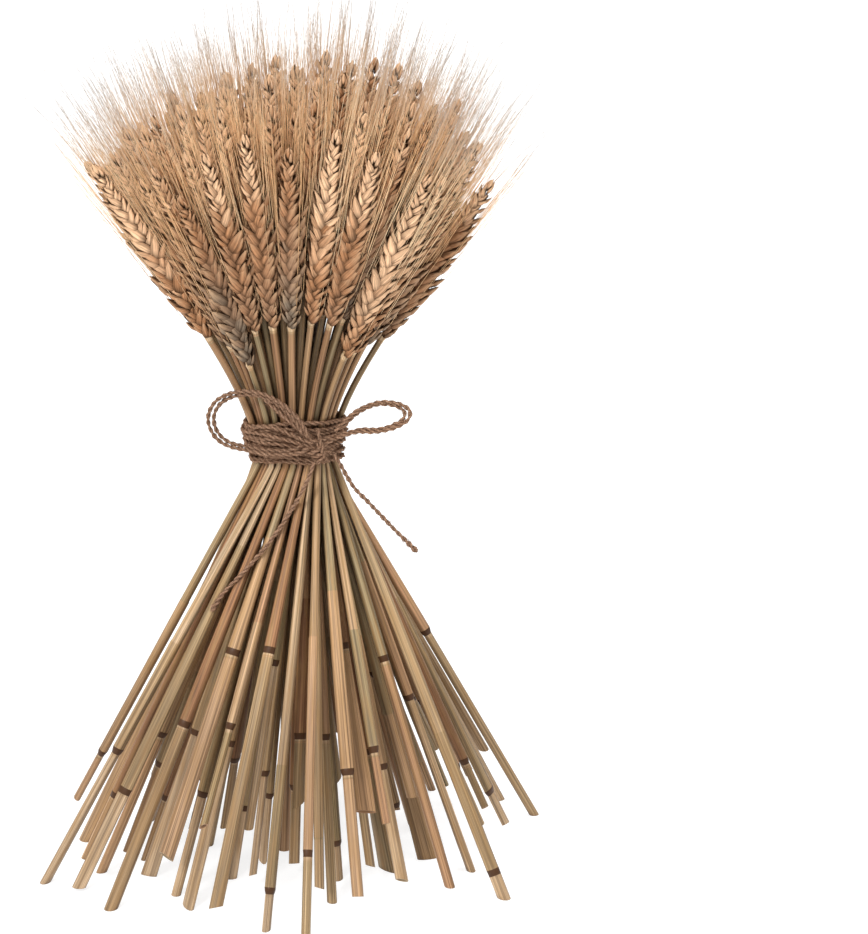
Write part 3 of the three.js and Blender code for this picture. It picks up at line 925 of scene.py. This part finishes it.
class Look:
    """A material, with short ways to add nodes to it."""

    def __init__(self, name):
        self.material = bpy.data.materials.new(name)
        self.material.use_nodes = True
        self.nodes = self.material.node_tree.nodes
        self.links = self.material.node_tree.links
        self.shader = self.nodes["Principled BSDF"]

    def fix(self, name, value):
        """Sets one of the shader's own inputs."""
        self.shader.inputs[name].default_value = value

    def feed(self, name, socket):
        """Links a socket to one of the shader's inputs."""
        self.links.new(socket, self.shader.inputs[name])

    def attribute(self, name, output="Fac"):
        """What the mesh holds at each point under a name."""
        node = self.nodes.new("ShaderNodeAttribute")
        node.attribute_name = name
        return node.outputs[output]

    def ramp(self, value, stops):
        """A colour that runs through stops."""
        node = self.nodes.new("ShaderNodeValToRGB")
        ramp = node.color_ramp
        while len(ramp.elements) < len(stops):
            ramp.elements.new(0.5)
        for element, (place, colour) in zip(ramp.elements, stops):
            element.position = place
            element.color = (*colour, 1)
        self.links.new(value, node.inputs["Fac"])
        return node.outputs["Color"]

    def mix(self, kind, factor, first, second):
        """A mix of a colour with another, where each of the last three is a socket or a fixed value."""
        node = self.nodes.new("ShaderNodeMix")
        node.data_type = "RGBA"
        node.blend_type = kind
        for place, value in zip(MIX_INPUTS, (factor, first, second)):
            if isinstance(value, bpy.types.NodeSocket):
                self.links.new(value, node.inputs[place])
            else:
                node.inputs[place].default_value = (*value, 1) if isinstance(value, tuple) else value
        return node.outputs[MIX_RESULT]

    def noise(self, vector, stretch, scale, detail):
        """Noise on a vector that is stretched first."""
        mapping = self.nodes.new("ShaderNodeMapping")
        mapping.inputs["Scale"].default_value = stretch
        self.links.new(vector, mapping.inputs["Vector"])
        noise = self.nodes.new("ShaderNodeTexNoise")
        noise.inputs["Scale"].default_value = scale
        noise.inputs["Detail"].default_value = detail
        self.links.new(mapping.outputs["Vector"], noise.inputs["Vector"])
        return noise.outputs["Fac"]

    def remap(self, value, low, high, to_low, to_high):
        """A value between two limits, brought between two others."""
        node = self.nodes.new("ShaderNodeMapRange")
        limits = {"From Min": low, "From Max": high, "To Min": to_low, "To Max": to_high}
        for name, limit in limits.items():
            node.inputs[name].default_value = limit
        self.links.new(value, node.inputs["Value"])
        return node.outputs["Result"]

    def paint_gap_shade(self, colour):
        """A colour darkened with painted shade where other things stand close round it."""
        node = self.nodes.new("ShaderNodeAmbientOcclusion")
        node.samples = GAP_SAMPLES
        node.inputs["Distance"].default_value = GAP_REACH
        shade = self.remap(node.outputs["AO"], *GAP_SHADES)
        return self.mix("MIX", shade, colour, GAP_SHADE_COLOUR)

    def bump(self, height, strength, distance):
        """Relief on the surface."""
        node = self.nodes.new("ShaderNodeBump")
        node.inputs["Strength"].default_value = strength
        node.inputs["Distance"].default_value = distance
        self.links.new(height, node.inputs["Height"])
        self.feed("Normal", node.outputs["Normal"])


# How near other things are where a colour is darkened with painted shade, in metres, and the colours
# themselves.
GAP_REACH = 0.007
GAP_SHADE_COLOUR = (0.05, 0.018, 0.006)
STRAW_TONES = [
    (0.0, (0.35, 0.177, 0.088)),
    (0.14, (0.628, 0.374, 0.198)),
    (0.28, (0.36, 0.281, 0.154)),
    (0.42, (0.659, 0.426, 0.242)),
    (0.56, (0.546, 0.302, 0.165)),
    (0.7, (0.433, 0.322, 0.165)),
    (0.84, (0.597, 0.406, 0.231)),
    (1.0, (0.752, 0.541, 0.341)),
]
STRAW_PATCH = (0.45, 0.26, 0.105)
# The dark of the joints, also the colour of the painted shade on the necks and in the hollow feet.
JOINT_AND_SHADE_COLOUR = (0.07, 0.031, 0.013)
HUSK_TONES = [
    (0.0, (0.21, 0.155, 0.108)),
    (0.25, (0.335, 0.185, 0.103)),
    (0.5, (0.38, 0.19, 0.095)),
    (0.75, (0.43, 0.205, 0.095)),
    (1.0, (0.87, 0.55, 0.33)),
]
HUSK_TIP = (0.74, 0.48, 0.28)
# The colour of the painted shade at the roots and edges of the husks.
HUSK_SHADE_COLOUR = (0.045, 0.022, 0.01)
AWN_TONES = [
    (0.0, (0.75, 0.446, 0.223)),
    (0.5, (0.97, 0.624, 0.339)),
    (1.0, (1, 0.752, 0.475)),
]
AWN_TIP = (0.45, 0.41, 0.385)
TWINE_TONES = [
    (0.0, (0.128, 0.068, 0.041)),
    (0.5, (0.355, 0.196, 0.118)),
    (1.0, (0.731, 0.475, 0.326)),
]
# The colour of the painted shade in the twine's grooves.
TWINE_GROOVE_SHADE = (0.035, 0.02, 0.011)

# Noises on the grain: its stretch, a scale and a detail.
STREAK_NOISE = ((3.2, 3.2, 0.5), 3.0, 4.0)
STRIPE_NOISE = ((1.0, 1.0, 0.12), 2.6, 2.0)
PATCH_NOISE = ((0.8, 0.8, 1.6), 1.6, 2.0)
RIB_NOISE = ((1.7, 1.7, 0.3), 2.2, 3.0)
JUTE_NOISE = ((2.6, 2.6, 0.9), 4.0, 5.0)
# Ranges: the two limits that a value comes between, and the two that it is brought between.
GAP_SHADES = (0.1, 0.75, 0.9, 0.0)
STREAKS = (0.3, 0.7, 0.52, 1.3)
STRIPES = (0.35, 0.65, 0.5, 1.25)
PATCHES = (0.45, 0.75, 0.0, 0.7)
STRAW_ROUGHNESS = (0.3, 0.7, 0.5, 0.32)
RIBS = (0.35, 0.65, 0.55, 1.25)
PALE_TIPS = (0.45, 1.0, 0.0, 0.6)
PAINTED_FOOT_SHADE = (0.03, 0.36, 0.85, 0.0)
PAINTED_EDGE_SHADE = (-0.3, 0.75, 0.9, 0.0)
HUSK_ROUGHNESS = (0.3, 0.7, 0.62, 0.45)
GREY_ENDS = (-0.7, 0.6, 0.0, 0.95)
JUTE_CONTRAST = (0.36, 0.64, 0.0, 1.0)
STRAND_SHADES = (0.0, 1.0, 0.85, 1.25)
GROOVE_SHADE_RANGE = (0.0, 0.75, 0.9, 0.0)
# Gloss, plain roughness, and the strength and height of the relief.
STRAW_GLOSS = 0.2
STRAW_RELIEF = (0.4, 0.0004)
HUSK_GLOSS = 0.1
HUSK_RELIEF = (0.5, 0.0005)
AWN_GLOSS = 0.1
AWN_ROUGHNESS = 0.45
TWINE_GLOSS = 0.05
TWINE_ROUGHNESS = 0.92
TWINE_RELIEF = (0.8, 0.0006)
GAP_SAMPLES = 4


def straw_material():
    """Dry straw: each stalk its own tone, with fine streaks along it, weathered patches and dark joints,
    darker towards the foot, and painted shade on the necks under the ears, in the hollow feet and in the gaps
    between straws.
    """
    look = Look("straw")
    grain = look.attribute("grain", "Vector")
    fine = look.noise(grain, *STREAK_NOISE)
    stripes = look.remap(look.noise(grain, *STRIPE_NOISE), *STRIPES)
    patches = look.remap(look.noise(grain, *PATCH_NOISE), *PATCHES)
    colour = look.ramp(look.attribute("tone"), STRAW_TONES)
    colour = look.mix("MULTIPLY", 1.0, colour, look.remap(fine, *STREAKS))
    colour = look.mix("MULTIPLY", 1.0, colour, stripes)
    colour = look.mix("MIX", patches, colour, STRAW_PATCH)
    # The mark paints the dark joints, painted shade on the necks under the ears and in the hollow feet, and a
    # darkening towards the foot.
    colour = look.mix("MIX", look.attribute("mark"), colour, JOINT_AND_SHADE_COLOUR)
    # Painted shade in the gaps between the straws.
    look.feed("Base Color", look.paint_gap_shade(colour))
    look.feed("Roughness", look.remap(fine, *STRAW_ROUGHNESS))
    look.fix("Specular IOR Level", STRAW_GLOSS)
    look.bump(fine, *STRAW_RELIEF)
    return look.material


def husk_material():
    """Ripe husks: each ear its own tone, with painted shade at the root and edges of each husk and in the
    gaps between husks, and pale at its tip.
    """
    look = Look("husk")
    grain = look.attribute("grain", "Vector")
    mark = look.attribute("mark")
    ribs = look.noise(grain, *RIB_NOISE)
    parts = look.nodes.new("ShaderNodeSeparateXYZ")
    look.links.new(grain, parts.inputs["Vector"])
    colour = look.ramp(look.attribute("tone"), HUSK_TONES)
    colour = look.mix("MULTIPLY", 1.0, colour, look.remap(ribs, *RIBS))
    colour = look.mix("MIX", look.remap(mark, *PALE_TIPS), colour, HUSK_TIP)
    # Painted shade at the root of each husk and along its hidden edges.
    colour = look.mix("MIX", look.remap(mark, *PAINTED_FOOT_SHADE), colour, HUSK_SHADE_COLOUR)
    colour = look.mix("MIX", look.remap(parts.outputs["Y"], *PAINTED_EDGE_SHADE), colour, HUSK_SHADE_COLOUR)
    # Painted shade in the gaps between the husks.
    look.feed("Base Color", look.paint_gap_shade(colour))
    look.feed("Roughness", look.remap(ribs, *HUSK_ROUGHNESS))
    look.fix("Specular IOR Level", HUSK_GLOSS)
    look.bump(ribs, *HUSK_RELIEF)
    return look.material


def awn_material():
    """Awns: golden hairs among the ears, grey beyond them."""
    look = Look("awn")
    base = look.ramp(look.attribute("tone"), AWN_TONES)
    grey = look.remap(look.attribute("mark"), *GREY_ENDS)
    look.feed("Base Color", look.mix("MIX", grey, base, AWN_TIP))
    look.fix("Roughness", AWN_ROUGHNESS)
    look.fix("Specular IOR Level", AWN_GLOSS)
    return look.material


def twine_material():
    """Jute: brown fibres along the plies, with painted shade in the grooves between them."""
    look = Look("jute")
    fibres = look.noise(look.attribute("grain", "Vector"), *JUTE_NOISE)
    colour = look.ramp(look.remap(fibres, *JUTE_CONTRAST), TWINE_TONES)
    colour = look.mix("MULTIPLY", 1.0, colour, look.remap(look.attribute("tone"), *STRAND_SHADES))
    # Painted shade in the grooves between the plies.
    groove_shade = look.remap(look.attribute("mark"), *GROOVE_SHADE_RANGE)
    look.feed("Base Color", look.mix("MIX", groove_shade, colour, TWINE_GROOVE_SHADE))
    look.fix("Roughness", TWINE_ROUGHNESS)
    look.fix("Specular IOR Level", TWINE_GLOSS)
    look.bump(fibres, *TWINE_RELIEF)
    return look.material


# Camera, floor and light.


def make_camera():
    """The photograph's view: level across, looking a little down, with the sheaf left of the middle."""
    tilt = math.radians(CAMERA_ELEVATION)
    ahead = Vector((0, math.cos(tilt), -math.sin(tilt)))
    upward = Vector((0, math.sin(tilt), math.cos(tilt)))
    right = (IMAGE_SIZE[0] / 2 - TIE_PIXEL[0]) * MM_PER_PIXEL
    up = (TIE_PIXEL[1] - IMAGE_SIZE[1] / 2) * MM_PER_PIXEL
    aim = Vector((right, 0, TIE_HEIGHT)) + upward * up
    data = bpy.data.cameras.new("camera")
    data.sensor_width = SENSOR
    data.lens = SENSOR * CAMERA_DISTANCE / (IMAGE_SIZE[1] * MM_PER_PIXEL)
    camera = bpy.data.objects.new("camera", data)
    camera.location = (aim - ahead * CAMERA_DISTANCE) * MM
    camera.rotation_mode = "QUATERNION"
    camera.rotation_quaternion = ahead.to_track_quat("-Z", "Y")
    bpy.context.scene.collection.objects.link(camera)
    bpy.context.scene.camera = camera


FLOOR_HALF = 30.0
FLOOR_COLOUR = (0.3, 0.3, 0.3, 1)
FLOOR_GLOW = 0.82
FLOOR_GAP = 0.0002
FLOOR_ROUGHNESS = 0.8
FLOOR_GLOSS = 0.1
WHITE = (1, 1, 1, 1)


def make_floor():
    """A plain pale floor just under the feet, which glows so that shadows on it stay faint."""
    look = Look("floor")
    look.fix("Base Color", FLOOR_COLOUR)
    look.fix("Emission Color", WHITE)
    look.fix("Emission Strength", FLOOR_GLOW)
    look.fix("Roughness", FLOOR_ROUGHNESS)
    look.fix("Specular IOR Level", FLOOR_GLOSS)
    mesh = bpy.data.meshes.new("floor")
    corners = [(-1, -1), (1, -1), (1, 1), (-1, 1)]
    mesh.from_pydata([(x * FLOOR_HALF, y * FLOOR_HALF, -FLOOR_GAP) for x, y in corners], [], [(0, 1, 2, 3)])
    mesh.materials.append(look.material)
    floor = bpy.data.objects.new("floor", mesh)
    bpy.context.scene.collection.objects.link(floor)


# The soft lights' directions, strengths and widths in the sky, and the light from all round.
KEY_LIGHT = ((-0.45, -0.9, 0.8), 2.2, 16)
TOP_LIGHT = ((0.1, 0.1, 1.0), 3.0, 40)
WORLD_STRENGTH = 0.45


def make_lights():
    """A soft light from the upper left in front, one from above, and a weaker one from all round."""
    for name, (direction, strength, width) in (("key", KEY_LIGHT), ("top", TOP_LIGHT)):
        data = bpy.data.lights.new(name, "SUN")
        data.energy = strength
        data.angle = math.radians(width)
        light = bpy.data.objects.new(name, data)
        light.rotation_mode = "QUATERNION"
        light.rotation_quaternion = Vector(direction).to_track_quat("Z", "Y")
        bpy.context.scene.collection.objects.link(light)
    world = bpy.data.worlds.new("studio")
    world.use_nodes = True
    background = world.node_tree.nodes["Background"]
    background.inputs["Color"].default_value = WHITE
    background.inputs["Strength"].default_value = WORLD_STRENGTH
    bpy.context.scene.world = world
    bpy.context.scene.view_settings.view_transform = "Standard"


def make_stalks(stalks):
    """A piece for each pair of stalks, in place of its solid."""
    materials = [straw_material(), husk_material(), awn_material()]
    nodes = sorted(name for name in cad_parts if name.startswith("stalk_pair"))
    for index, node in enumerate(nodes):
        skin = Skin()
        for stalk_index in (2 * index, 2 * index + 1):
            rng = np.random.default_rng(STALK_SEED + stalk_index)
            stalk = stalks[stalk_index]
            add_straw(skin, stalk, rng.random(), rng)
            add_ear(skin, stalk, float(np.clip(rng.normal(*EAR_TONE), 0, 1)), rng)
        piece = skin.make(f"wheat_{index + 1:02d}", materials)
        dress(piece, node)


make_camera()
jute = twine_material()
cords = [
    ("loop_left_outer", LEFT_LOOP, "bow_loop_left", "object"),
    ("loop_left_inner", inner_strand(LEFT_LOOP, LEFT_INSET), "bow_loop_left", "object"),
    ("loop_right_outer", RIGHT_LOOP, "bow_loop_right", "object"),
    ("loop_right_inner", inner_strand(RIGHT_LOOP, RIGHT_INSET), "bow_loop_right", "object"),
    ("tail_left", LEFT_TAIL, "twine_tail_left", "bare"),
    ("tail_right", RIGHT_TAIL, "twine_tail_right", "bare"),
]
for cord_seed, cord in enumerate(cords, CORD_SEED):
    make_cord(*cord, jute, cord_seed)
sheaf = plant_stalks()
make_stalks(sheaf)
dress(make_band(sheaf, jute), "twine_band")
dress(make_knot(jute), "twine_knot")
make_floor()
make_lights()
